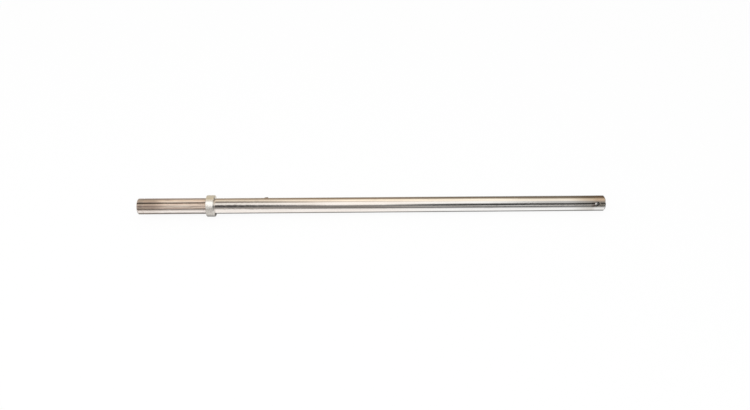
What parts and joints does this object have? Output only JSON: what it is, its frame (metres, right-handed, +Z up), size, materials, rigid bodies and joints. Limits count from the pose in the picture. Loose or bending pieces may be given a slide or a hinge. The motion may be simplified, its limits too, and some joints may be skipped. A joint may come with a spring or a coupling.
{
  "type": "splined machine shaft",
  "caption": "Long round steel shaft with an external straight-sided spline and ring groove at one end, a stop collar, and a plain journal with a cross hole at the other.",
  "frame": {"origin": "on the shaft's axis, at the collar's shoulder face towards the journal", "axes": "+X along the axis towards the plain end with the cross hole; +Z up; one spline tooth points along +Z"},
  "size_m": [0.762, 0.035, 0.035],
  "materials": {
    "bar_steel": "ground journal, satin and slightly tarnished spline",
    "collar_steel": "matte, grainy, dull grey white"
  },
  "bodies": {
    "root": {"shaft": "bar_steel", "collar": "collar_steel"}
  },
  "joints": []
}
